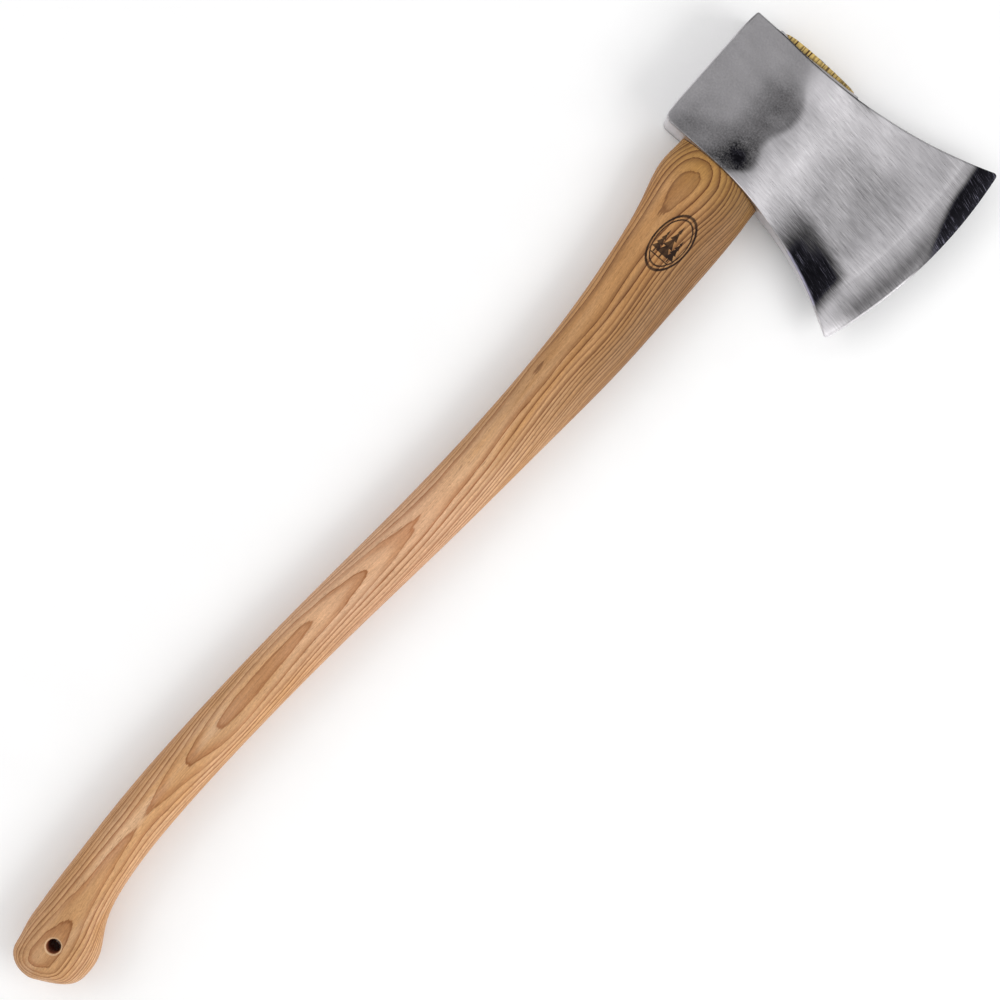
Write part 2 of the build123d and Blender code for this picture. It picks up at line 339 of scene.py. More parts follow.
def half_at(ahead, along):
    behind = behind_edge(ahead, along)
    cheek, bit = cheek_half(ahead), bit_half(behind)
    gap = np.maximum(BIT_BLEND - np.abs(cheek - bit), 0) / BIT_BLEND
    base = np.minimum(cheek, bit) - gap * gap * BIT_BLEND / 4
    wave = sum(k * (1 + np.sin(ahead * a + along * b + c)) for k, a, b, c in GRIND_WAVES)
    return base - GRIND_DEPTH * rises(ahead, 46, 80) * rises(behind, 4, 30) * wave


def distance_to_outline(points):
    flat = points.reshape(-1, 2)
    best = np.full(len(flat), 1e9)
    for start in range(0, len(flat), 2000):
        part = flat[start : start + 2000]
        gap = np.hypot(part[:, None, 0] - OUTLINE[None, :, 0], part[:, None, 1] - OUTLINE[None, :, 1])
        best[start : start + 2000] = gap.min(1)
    return best.reshape(points.shape[:-1])


# --- the head's grid
RIM_STEPS = [0, 0.1, 0.25, 0.45, 0.7, 1.0, 1.4, 2.0, 3.0]
EDGE_STEPS = [0, 0.1, 0.25, 0.45, 0.7, 1.0, 1.35, 1.75, 2.15, 2.5, 2.8, 3.05, 3.3, 3.6, 4.0, 4.6, 5.4]
EDGE_STEPS += list(np.arange(6.4, 20, 1.0)) + [20.0, 21.2, 22.4, 23.6, 25.0, 26.5, 28.0]
INNER_ROWS = 44
MIDDLE_STEP = 1.7


def row_shares(length):
    """Where the rows cross a column of that length: close together at both ends."""
    rim = np.array(RIM_STEPS) / length
    inner = np.linspace(rim[-1], 1 - rim[-1], INNER_ROWS + 1)
    return np.concatenate([rim, inner[1:-1], 1 - rim[::-1]])


def head_columns():
    """The head's grid, column by column from the poll face to the cutting edge."""
    columns, sides = [], []
    for line in (LOWER_SIDE, UPPER_SIDE):
        lengths, tail = arc_lengths(line), slice(len(line) // 2, None)
        out = np.hypot(*(line - EDGE_CENTRE).T)
        sides.append((line, lengths, out[tail], lengths[tail]))

    def arc_column(behind):
        """A column on an arc behind the edge, and how far along the two sides its ends are."""
        rho = EDGE_R - behind
        places = [np.interp(rho, out, tail) for _, _, out, tail in sides]
        ends = [at_length(*side[:2], where) for side, where in zip(sides, places)]
        a0, a1 = (turn_of(end - EDGE_CENTRE) for end in ends)
        shares = row_shares(rho * (a1 - a0))
        return EDGE_CENTRE + polar(rho, a0 + (a1 - a0) * shares), places

    last, places = arc_column(EDGE_STEPS[-1])
    poll_len = arc_lengths(POLL_SIDE)
    middle = sum(places) / 2
    steps = RIM_STEPS + list(np.arange(RIM_STEPS[-1] + MIDDLE_STEP, middle - 1.0, MIDDLE_STEP))
    for step in steps:
        s = step / middle
        low, high = (at_length(*side[:2], s * where) for side, where in zip(sides, places))
        shares = row_shares(np.linalg.norm(high - low))[:, None]
        start = at_length(POLL_SIDE, poll_len, shares[:, 0] * poll_len[-1])
        start = start - between(POLL_SIDE[0], POLL_SIDE[-1], shares)
        end = last - between(last[0], last[-1], shares)
        columns.append(between(low, high, shares) + (1 - s) * start + s * end)
    columns += [arc_column(behind)[0] for behind in EDGE_STEPS[::-1]]
    return np.array(columns)


# --- the eye's egg-shaped outline
EYE_BACK, EYE_LENGTH, EYE_BACK_R, EYE_FRONT_R = 20.4, 53.5, 10.25, 6.3
EYE_BACK_C, EYE_FRONT_C = EYE_BACK + EYE_BACK_R, EYE_BACK + EYE_LENGTH - EYE_FRONT_R
EYE_LEAN = math.asin((EYE_BACK_R - EYE_FRONT_R) / (EYE_FRONT_C - EYE_BACK_C))
EYE_SIDE = 47.0
EYE_WAIST = 0.6
EYE_REACH = 50.0


def waist(along):
    """How far the eye's wall lies outside its plain outline: least in the middle of the eye."""
    return -EYE_WAIST * (1 - (along / EYE_REACH) ** 2)


def egg_half():
    """Half of the eye's outline, from its front round to its back: points and outward normals."""
    front, back = 60, 90
    turn = np.concatenate([
        np.linspace(0, math.pi / 2 - EYE_LEAN, front),
        np.linspace(math.pi / 2 - EYE_LEAN, math.pi, back),
    ])
    normals = polar(1, turn)
    centres = np.repeat([EYE_FRONT_C, EYE_BACK_C], [front, back])
    radii = np.repeat([EYE_FRONT_R, EYE_BACK_R], [front, back])
    points = normals * radii[:, None]
    points[:, 0] += centres
    return points, normals


EGG_POINTS, EGG_NORMALS = egg_half()
EGG_LENGTHS = arc_lengths(EGG_POINTS)
EGG_SIDE = float(np.interp(-EYE_SIDE, -EGG_POINTS[:, 0], EGG_LENGTHS))


def egg_at(share):
    """The outline at shares of its way round: 0 front, 0.25 one side, 0.5 back, 0.75 other side."""
    share = np.asarray(share, float) % 1.0
    half = np.where(share <= 0.5, share, 1 - share)
    where = np.interp(half, [0, 0.25, 0.5], [0, EGG_SIDE, EGG_LENGTHS[-1]])
    points = at_length(EGG_POINTS, EGG_LENGTHS, where)
    normals = at_length(EGG_NORMALS, EGG_LENGTHS, where)
    normals /= np.linalg.norm(normals, axis=-1)[..., None]
    flip = join(np.ones_like(share), np.where(share <= 0.5, 1, -1))
    return points * flip, normals * flip


def loop_shares(points):
    """Shares round a loop of (ahead, up) points that starts at its front and goes up first."""
    closed = np.concatenate([points, points[:1]])
    where = arc_lengths(closed)
    n = len(points)
    back = nearest(where, where[-1] / 2)
    up_side = np.interp(-EYE_SIDE, -points[: back + 1, 0], where[: back + 1])
    down_side = np.interp(EYE_SIDE, closed[back:, 0], where[back:])
    return np.interp(where[:n], [0, up_side, where[back], down_side, where[-1]], [0, 0.25, 0.5, 0.75, 1])


# --- head
WALL_ROWS = 6
EYE_BLOCK = (13.0, 83.0)
COLLAR_TOP, COLLAR_CROWN_R, COLLAR_ROOT = 44.7, 15.5, 4.15
LIP_ROOT, LIP_HEIGHT = 0.9, 1.2
COLLAR_FOOT = 40.0
# The collar's profile, by distance outside the eye and share of its rise.
COLLAR = [(3.95, 0.03), (3.75, 0.12), (3.62, 0.3), (3.52, 0.55), (3.4, 0.8), (3.15, 0.95), (2.8, 1.0)]
COLLAR += [(1.9, 1.0), (1.0, 1.0), (0.55, 0.97), (0.25, 0.85), (0.08, 0.6), (0.0, 0.3)]


def collar_crown(up):
    """The collar is high at its two ends and falls off towards the cheeks."""
    return COLLAR_CROWN_R - np.sqrt(COLLAR_CROWN_R**2 - np.minimum(np.abs(up), 15) ** 2)


def build_head():
    net = Net()
    grid = head_columns()
    half = half_at(grid[..., 0], grid[..., 1])
    rim = np.minimum(0.8 + 0.9 * rises(-grid[..., 1], 42, 62), 0.45 * half)
    inside = distance_to_outline(grid)
    for side in (np.s_[:, 0], np.s_[:, -1], np.s_[0, :], np.s_[-1, :]):
        inside[side] = 0
    near = np.clip(rim - inside, 0, None)
    up = half - (rim - np.sqrt(np.maximum(rim**2 - near**2, 0)))
    for sign in (1, -1):
        net.quads(net.add(place(grid[..., 0], grid[..., 1], sign * up)))
    levels = np.linspace(1, -1, WALL_ROWS + 1)[:, None]

    def wall(points, height):
        return net.add(place(points[None, :, 0], points[None, :, 1], levels * height[None, :]))

    net.quads(wall(grid[0], up[0]))
    net.quads(wall(grid[-1], up[-1]))
    # The upper and lower walls, each with a block of faces drawn together into the eye's outline.
    mouths = []
    sides_ahead = (grid[:, 0, 0] + grid[:, -1, 0]) / 2
    block = (0, WALL_ROWS, *(int(np.searchsorted(sides_ahead, limit)) for limit in EYE_BLOCK))
    for row, side, root in ((-1, top_side, COLLAR_ROOT), (0, bottom_side, LIP_ROOT)):
        index = wall(grid[:, row], up[:, row])
        net.quads(index, [block])
        ring = block_loop(index, *block)
        places = np.concatenate(net.points)[ring]
        outer = join((POLL_Y - places[:, 1]) / MM, (places[:, 2] - MID_Z) / MM)
        shares = loop_shares(outer)
        egg, normals = egg_at(shares)
        inner = egg + root * normals
        for t in (0.34, 0.67, 1.0):
            mid = between(outer, inner, t)
            new = net.add(place(mid[:, 0], side(mid[:, 0]), mid[:, 1]))
            net.quads(np.stack([ring, new]), wrap=True)
            ring = new
        mouths.append((ring, shares))
    # Collar, eye wall and bottom lip.
    (top_ring, shares), (bottom_ring, low_shares) = mouths
    rows = [top_ring]

    def add_row(spot, along):
        rows.append(net.add(place(spot[:, 0], along, spot[:, 1])))

    egg, normals = egg_at(shares)
    for ease, share in COLLAR:
        spot = egg + ease * normals
        base = top_side(spot[:, 0])
        rise = np.maximum(COLLAR_TOP - collar_crown(spot[:, 1]) - base, 0.25)
        add_row(spot, base + share * rise)
    for t in np.linspace(0, 1, 12):
        egg, normals = egg_at(between(shares, low_shares, t))
        along = between(COLLAR_FOOT, bottom_side(egg[:, 0]) + LIP_HEIGHT, t)
        add_row(egg + waist(along)[:, None] * normals, along)
    egg, normals = egg_at(low_shares)
    for ease, rise in ((0.03, 0.7), (0.15, 0.35), (0.45, 0.08)):
        spot = egg + ease * normals
        add_row(spot, bottom_side(spot[:, 0]) + rise)
    net.quads(np.stack(rows + [bottom_ring]), wrap=True)
    return net.finish("forged_head")


# --- handle
# The outline's stations: along, back edge, front edge and thickness.
STATIONS = np.array([
    (-655.6, 47.5, 54.5, 8.0), (-652.6, 39.4, 61.1, 17.5), (-648.0, 36.0, 68.9, 24.0),
    (-641.0, 34.5, 76.5, 28.0), (-631.0, 32.1, 78.6, 29.0), (-619.0, 30.8, 76.2, 28.7),
    (-604.0, 29.4, 67.6, 27.6), (-582.0, 28.0, 61.1, 26.0), (-544.0, 25.8, 57.7, 24.4),
    (-474.0, 25.6, 58.1, 23.8), (-381.0, 29.6, 63.2, 23.8), (-300.0, 34.5, 69.8, 24.2),
    (-219.0, 36.2, 75.1, 25.0), (-161.0, 33.6, 78.2, 25.8), (-114.0, 27.9, 78.2, 26.5),
    (-80.0, 20.8, 77.9, 27.0), (-57.0, 15.4, 76.9, 27.0), (-46.0, 15.9, 76.1, 26.5),
    (-38.0, 16.2, 75.8, 26.0),
])
FULLNESS = 2.3
CREST, CREST_AHEAD, CREST_R, CREST_ACROSS_R = 45.8, 50.0, 380.0, 60.0
SHOULDER_ALONG, SHOULDER_GAP, TONGUE_GAP = -41.2, 0.12, 0.04
KNOB_MIDDLE = 51.0
HOLE_BLOCK, HOLE_EASE = 8.2, 1.35
AROUND = 112
TURNS = np.arange(AROUND) * 2 * math.pi / AROUND


def station(along):
    """Back edge, front edge and thickness of the handle."""
    # The knob's end closes like a square root, so it is splined against the root of its distance.
    root = np.sqrt(np.maximum(np.asarray(along, float) - KNOB_END, 0))
    roots = np.sqrt(STATIONS[:, 0] - STATIONS[0, 0])
    return [spline(roots, STATIONS[:, k], root) for k in (1, 2, 3)]


def oval(along, turn):
    back, front, thick = station(along)
    c, s = np.cos(turn), np.sin(turn)
    across = np.sign(c) * np.abs(c) ** (2 / FULLNESS)
    upward = np.sign(s) * np.abs(s) ** (2 / FULLNESS)
    return (back + front) / 2 + across * (front - back) / 2, upward * thick / 2


def surface_up(ahead, along):
    back, front, thick = station(along)
    out = np.abs((ahead - (back + front) / 2) / ((front - back) / 2))
    return thick / 2 * np.maximum(1 - out**FULLNESS, 0) ** (1 / FULLNESS)


def crest_top(ahead, up):
    """The tongue's domed end."""
    lengthways = CREST - CREST_R + np.sqrt(CREST_R**2 - (ahead - CREST_AHEAD) ** 2)
    return lengthways - CREST_ACROSS_R + np.sqrt(CREST_ACROSS_R**2 - up**2)


def build_handle():
    net = Net()
    knob = KNOB_END + np.array([0.05, 0.2, 0.5, 1.0, 1.7, 2.6, 3.7, 5.0, 6.5])
    grip = np.concatenate([knob, np.arange(KNOB_END + 8, -604, 1.5), np.arange(-604, -58, 2.2)])
    ahead, up = oval(grip[:, None], TURNS)
    rows = [(ahead, up, np.broadcast_to(grip[:, None], ahead.shape))]

    def add_row(ahead, up, along):
        rows.append([np.broadcast_to(v, (1, AROUND)) for v in (ahead, up, along)])

    # The last rows lean over to lie along the head's curved lower side.
    last = grip[-1]
    for t in (0.15, 0.3, 0.45, 0.6, 0.74, 0.86, 0.94, 0.98):
        ahead, up = oval(last + t * (SHOULDER_ALONG - last), TURNS)
        add_row(ahead, up, last + t * (bottom_side(ahead) - SHOULDER_GAP - last))
    ahead, up = oval(SHOULDER_ALONG, TURNS)
    middle = (ahead.max() + ahead.min()) / 2
    goal = bottom_side(ahead) - SHOULDER_GAP
    for shrink, drop in ((1.0, 0.28), (0.994, 0.1), (0.98, 0.0)):
        add_row(middle + (ahead - middle) * shrink, up * shrink, goal - drop)
    egg, normals = egg_at(TURNS / (2 * math.pi))
    edge = join(middle + (ahead - middle) * 0.98, up * 0.98)
    for t in (0.5, 1.0):
        spot = between(edge, egg - 0.25 * normals, t)
        add_row(*spot.T, bottom_side(spot[:, 0]) - SHOULDER_GAP)
    for height in (-38.0, -30.0, -20.0, -10.0, 0.0, 10.0, 20.0, 30.0, 36.0, 39.0):
        spot = egg + (waist(height) - TONGUE_GAP) * normals
        add_row(*spot.T, height)
    crest = [(-0.3, 4.6), (-0.24, 3.4), (-0.2, 2.0), (-0.24, 1.1)]
    crest += [(-0.36, 0.6), (-0.62, 0.24), (-1.0, 0.06), (-1.45, 0.0)]
    for ease, drop in crest:
        spot = egg + ease * normals
        add_row(*spot.T, crest_top(*spot.T) - drop)
    rim = spot
    spine = join(np.clip(egg[:, 0], EYE_BACK_C, EYE_FRONT_C), np.zeros(AROUND))
    for t in (0.12, 0.25, 0.4, 0.55, 0.7, 0.85, 1.0):
        spot = between(rim, spine, t)
        add_row(*spot.T, crest_top(*spot.T))
    ahead, up, along = (np.concatenate(v) for v in zip(*rows))
    index = net.add(place(ahead, along, up))
    pole = net.add(place(np.array([KNOB_MIDDLE]), KNOB_END, np.array([0.0])))
    for k in range(AROUND):
        net.faces.append((pole[0], index[0, (k + 1) % AROUND], index[0, k]))
    # The hang hole: a block of faces on each side gives way to a ring round the hole.
    r0, r1 = (nearest(grip, HOLE_ALONG + off) for off in (-HOLE_BLOCK, HOLE_BLOCK))
    blocks = []
    for start, end in ((1, AROUND // 2 - 1), (AROUND // 2 + 1, AROUND - 1)):
        span = ahead[(r0 + r1) // 2, start:end]
        cols = [start + nearest(span, HOLE_AHEAD + off) for off in (-HOLE_BLOCK, HOLE_BLOCK)]
        blocks.append((r0, r1, min(cols), max(cols)))
    net.quads(index, blocks, wrap=True)
    centre = np.array([HOLE_AHEAD, HOLE_ALONG])
    for sign, block in zip((1, -1), blocks):
        loop = block_loop(index, *block)
        outer = join(ahead, along).reshape(-1, 2)[loop]
        spoke = polar(1, np.arctan2(outer[:, 1] - HOLE_ALONG, outer[:, 0] - HOLE_AHEAD))
        inner = centre + (HOLE_R + HOLE_EASE) * spoke
        rings = [loop]

        def add_ring(spot, height):
            rings.append(net.add(place(*spot.T, sign * height)))

        for t in (0.3, 0.6, 0.85, 1.0):
            spot = between(outer, inner, t)
            add_ring(spot, surface_up(*spot.T))
        for out, sink in ((1.12, 0.06), (0.85, 0.25), (0.55, 0.55), (0.3, 0.9), (0.1, 1.3), (0.0, 1.8)):
            spot = centre + (HOLE_R + out) * spoke
            add_ring(spot, surface_up(*spot.T) - sink)
        for height in (9.0, 5.0, 0.0):
            add_ring(centre + HOLE_R * spoke, height)
        net.quads(np.stack(rings), wrap=True)
    return net.finish("handle_body")


# --- tongue, kerf and ring seat
CUT_TOP = 50.0
KERF_DEPTH, KERF_TOP_HALF, KERF_FOOT_HALF = 52.0, 2.8, 0.7
KERF_BACK, KERF_FRONT = 12.0, 82.0
SEAT_R, SEAT_INNER_R, SEAT_FOOT_R = 8.0, 6.2, 7.5
SEAT_SINK, SEAT_DEPTH = 0.5, 20


def cutter(name, rings, ring_shaped):
    """A closed mesh from rings of points, joined end to end if it is ring-shaped."""
    net = Net()
    index = net.add(np.array(rings))
    net.quads(index, wrap=True)
    if ring_shaped:
        net.quads(np.stack([index[-1], index[0]]), wrap=True)
    else:
        net.faces += [tuple(index[0]), tuple(index[-1])]
    return net.finish(name)


def cut(obj, tool):
    """Takes the tool's shape out of the object and removes the tool."""
    mod = obj.modifiers.new("cut", "BOOLEAN")
    mod.operation, mod.solver, mod.object = "DIFFERENCE", "EXACT", tool
    graph = bpy.context.evaluated_depsgraph_get()
    data = bpy.data.meshes.new_from_object(obj.evaluated_get(graph), depsgraph=graph)
    obj.modifiers.clear()
    obj.data = data
    bpy.data.objects.remove(tool)


def kerf_tool():
    """The sawn kerf that the wooden wedge fills, wider towards the crest."""
    def ring(along, half):
        ahead = np.array([KERF_BACK, KERF_FRONT, KERF_FRONT, KERF_BACK])
        return place(ahead, along, np.array([-half, -half, half, half]))
    slope = (KERF_TOP_HALF - KERF_FOOT_HALF) / KERF_DEPTH
    top_half = KERF_TOP_HALF + slope * (CUT_TOP - CREST)
    return cutter("kerf", [ring(CREST - KERF_DEPTH, KERF_FOOT_HALF), ring(CUT_TOP, top_half)], False)


def ring_tool():
    """The seat that the steel ring cuts into the wood."""
    turn = np.arange(64) * 2 * math.pi / 64
    middle = EYE_BACK + EYE_LENGTH / 2
    top = CREST - SEAT_SINK
    foot = top - SEAT_DEPTH
    profile = [(foot, SEAT_R), (CUT_TOP, SEAT_R), (CUT_TOP, SEAT_INNER_R)]
    profile += [(top, SEAT_INNER_R), (foot, SEAT_FOOT_R)]
    rings = [place(middle + r * np.cos(turn), along, r * np.sin(turn)) for along, r in profile]
    return cutter("ring_seat", rings, True)


head = build_head()
handle = build_handle()
cut(handle, kerf_tool())
cut(handle, ring_tool())


def soften(obj, limit):
    """Smooth shading, with edges sharper than the limit left crisp."""
    for face in obj.data.polygons:
        face.use_smooth = True
    obj.data.set_sharp_from_angle(angle=math.radians(limit))


soften(head, 50)
soften(handle, 40)


# --- what the materials read
def own_places(obj):
    """Each vertex's (ahead, along, up)."""
    co = np.array([vertex.co for vertex in obj.data.vertices], float)
    return (POLL_Y - co[:, 1]) / MM, (co[:, 0] - EYE_X) / MM, (co[:, 2] - MID_Z) / MM


def keep(obj, **layers):
    """Stores numbers or vectors for each vertex, under their names."""
    for name, values in layers.items():
        values = np.asarray(values, np.float32)
        kind, field = ("FLOAT_VECTOR", "vector") if values.ndim > 1 else ("FLOAT", "value")
        obj.data.attributes.new(name, kind, "POINT").data.foreach_set(field, values.ravel())


# The handle's growth rings: a stack of curved layers whose ridge wanders along the handle, so
# that the upper and lower faces show nested tongues and the edges close parallel lines.
RIDGE = [
    (-660, 52.5), (-612, 50.2), (-556, 44.3), (-474, 42.0), (-397, 40.5), (-348, 44.5),
    (-302, 47.3), (-240, 46.0), (-188, 42.6), (-150, 42.0), (-110, 37.0), (-70, 34.5), (-40, 36.0),
]
# The number of the ring that shows along the ridge: each whole number is the tip of a tongue.
RIDGE_RING = [
    (-662, 1.0), (-645, 0.3), (-612, 1.0), (-556, 2.0), (-545, 2.12), (-533, 2.0), (-500, 1.0),
    (-474, 0.0), (-436, -0.4), (-397, 0.0), (-348, 1.0), (-302, 2.0), (-280, 2.2), (-240, 2.2),
    (-207, 2.06), (-198, 1.99), (-190, 2.04), (-172, 2.15), (-130, 2.2), (-104, 2.16), (-84, 2.06),
    (-77, 1.95), (-68, 1.7), (-59, 1.64), (-51, 1.98), (-44, 2.8), (-38, 3.7), (-20, 4.5), (50, 5.0),
]
RING_WIDTH = 1.75
BARK_SIDE = 60.0


def grain(ahead, along, up):
    """The growth ring's number, and how far ahead of the ridge the spot lies."""
    here = np.clip(along, -640, -44)
    ridge = spline(*zip(*RIDGE), here)
    ring = spline(*zip(*RIDGE_RING), np.clip(along, -662, 50))
    # The rings' own middle lies where the surface is level with them along the ridge.
    top = surface_up(ridge, here)
    tilt = (surface_up(ridge + 1, here) - surface_up(ridge - 1, here)) / 2
    core = ridge - tilt * (BARK_SIDE - top)
    side = ahead - core
    side = side + 0.4 * np.sin(along / 37 + up / 9) + 0.25 * np.sin(along / 17 + 1.3 + side / 14)
    depth = np.hypot(side, BARK_SIDE - np.abs(up)) - np.hypot(ridge - core, BARK_SIDE - top)
    return ring + depth / RING_WIDTH, ahead - ridge


def wood_shade(ahead, along):
    """How light the wood is: darker along the back edge as painted shade, eased at the knob, and round
    the crest's foot as a painted shadow line; darker too at the knob and towards the head on the front
    side.
    """
    back, front, _ = station(np.clip(along, KNOB_END + 1, -40))
    across = (ahead - back) / (front - back)
    darker = [
        # Painted shade along the back edge, away from the head.
        0.15 * fades(across, 0.1, 0.45) * fades(along, -230, -150),
        0.1 * fades(along, -620, -520) * fades(across, 0.6, 0.95),
        0.05 * fades(along, -605, -575),
        # The back edge's painted shade, eased at the knob and deepened a little further up.
        -0.13 * fades(along, -600, -545) * fades(across, 0.15, 0.4),
        0.07 * swells(along, -285, -245, -175, -140) * fades(across, 0.2, 0.5),
        0.09 * fades(along, -480, -380) * fades(across, 0.55, 0.85),
        0.1 * swells(along, -540, -490, -430, -380) * blob(across, 0, (0.5, 0), (0.25, 1)),
        # A painted shadow line round the crest's foot, where the wood meets the steel.
        0.5 * swells(along, 36, 39, 41.6, 42.9),
        0.08 * swells(along, -300, -250, -330, -200),
        0.33 * rises(along, -290, -105) * rises(across, 0.45, 0.85),
    ]
    return math.prod(1 - share for share in darker)


ahead, along, up = own_places(handle)
ring_number, side = grain(ahead, along, up)
keep(
    handle,
    ring=ring_number,
    grain=join(along, side, up),
    own=join(ahead, along, up),
    near_head=rises(along, -320, -120),
    shade=wood_shade(ahead, along),
    pale=swells(along, -450, -370, -310, -240),
    crest=rises(along, 30, 39),
    hole=np.hypot(ahead - HOLE_AHEAD, along - HOLE_ALONG) - HOLE_R,
)


def steel_tone(ahead, along):
    """How much light the cheeks give back, from 0 to about 1.3, as painted reflections in the steel's
    colour:
    a satin poll, a dark band in front of the eye, a black heel and a black toe are painted dark
    reflections."""
    low, high = bottom_side(ahead), top_side(ahead)
    share = (along - low) / (high - low)
    behind = behind_edge(ahead, along)
    # Poll: painted reflection duller towards its lower side, then a band painted as a dark reflection
    # with a slanting end.
    tone = 0.95 - 0.25 * fades(ahead, 32, 58)
    tone *= 1 - 0.45 * fades(share, 0.0, 0.42) * fades(ahead, 44, 58) * rises(ahead, -2, 12)
    shares, ends = [-0.1, 0, 0.12, 0.3, 0.55, 0.7, 0.85, 1, 1.1], [46, 47, 57, 54, 59, 57, 49, 43, 42]
    band_end = spline(shares, ends, share)
    band = rises(ahead, 22, 49) * fades(ahead - band_end, -2, 3)
    tone *= 1 - 0.64 * band * (1 - 0.72 * rises(share, 0.66, 0.88))
    tone *= 1 - 0.95 * blob(ahead, along, (48.5, -29.0), (7.0, 8.5))
    # Painted highlight: a bright strip along the shoulder, brightest at both sides, and a painted dark
    # spot by its upper end.
    strip = swells(ahead, 46, 58, 64, 76)
    tone *= 1 + 0.35 * strip * rises(share, 0.7, 0.86)
    tone *= 1 + 0.12 * swells(ahead, 57, 62, 66, 74) * fades(share, 0.3, 0.45)
    tone *= 1 - 0.45 * blob(ahead, along, (80, 43), (10, 5))
    # Cheek: painted reflection greyer in the middle than along its upper side.
    middle = swells(ahead, 74, 98, 124, 141)
    tone *= 1 - 0.25 * middle * fades(share, 0.68, 0.8)
    tone *= 1 - 0.14 * blob(ahead, along, (122, 8), (20, 11))
    # Heel: a painted dark reflection, with a lighter wedge painted into it.
    patch = swells(ahead, 83, 109, 136, 146) * fades(share, 0.165, 0.27)
    patch *= 1 - 0.14 * blob(ahead, along, (110, -37), (9, 4), -24)
    tone *= 1 - 0.985 * patch
    # Bevel: painted reflection duller towards the edge, the toe painted as a dark reflection, and
    # painted shade right along the edge.
    tone *= 1 - 0.77 * fades(behind, 5, 21) * rises(share, 0.03, 0.22)
    tone *= 1 - 0.21 * fades(behind, 17, 34) * rises(share, 0.7, 0.88)
    reach = 2 + 12 * rises(share, 0.48, 0.85)
    tone *= 1 - 0.975 * fades(behind - reach, -2.5, 1.5) * rises(share, 0.47, 0.66)
    tone *= 1 - 0.3 * fades(behind, 0.6, 2.2)
    return tone


ahead, along, up = own_places(head)
inside = distance_to_outline(join(ahead, along))
on_cheek = rises(np.abs(up) - half_at(ahead, along), -1.6, -0.7)
# Painted shade darkens the cheeks' upper rim, most beside the eye, and the collar above it.
beside_eye = swells(ahead, 12, 20, 78, 88)
painted_rim_shade = 1 - (0.5 + 0.4 * beside_eye) * fades(inside, 0.5, 1.3) * on_cheek * rises(along, 20, 34)
painted_rim_shade *= 1 - 0.45 * rises(along - top_side(ahead), 0.2, 1.2) * (1 - on_cheek) * beside_eye
keep(
    head,
    own=join(ahead, along, up),
    # The steel's painted reflections, with painted shade along the upper rim.
    tone=(0.9 + (steel_tone(ahead, along) - 0.9) * on_cheek) * painted_rim_shade,
    ground=rises(ahead, 48, 62) * on_cheek,
    bit=fades(behind_edge(ahead, along), 13, 24),
    # rim: a painted highlight along the rounded rim on the heel's side.
    rim=fades(inside, 0.4, 1.8) * on_cheek * rises(ahead, 40, 60) * fades(along, -20, 0),
)

for piece, node, slot in ((head, "axe_head", "head_steel"), (handle, "handle", "handle_wood")):
    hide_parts(node)
    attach(piece, "root")


